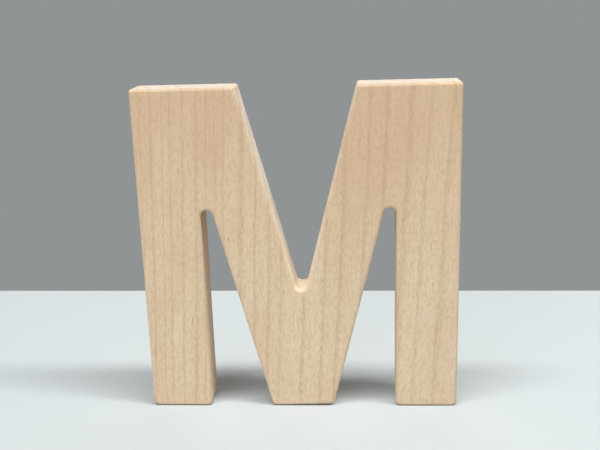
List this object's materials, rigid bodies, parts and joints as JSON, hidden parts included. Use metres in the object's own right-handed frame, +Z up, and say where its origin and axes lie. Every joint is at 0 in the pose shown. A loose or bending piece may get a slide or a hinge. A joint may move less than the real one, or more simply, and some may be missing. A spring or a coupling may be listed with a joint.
{
  "type": "wooden letter",
  "caption": "Freestanding block capital M sawn from one maple board, with a rounded notch between its arms, tapered slots beside its middle foot and softly eased edges.",
  "frame": {"origin": "on the floor under the middle of the letter's width and thickness", "axes": "+Z up along the letter's height, +X along its width to the reader's right, -Y out of the front face"},
  "size_m": [0.0968, 0.011, 0.1016],
  "materials": {
    "maple": "bare, sanded, matt"
  },
  "bodies": {
    "root": {"letter_m": "maple"}
  },
  "joints": []
}
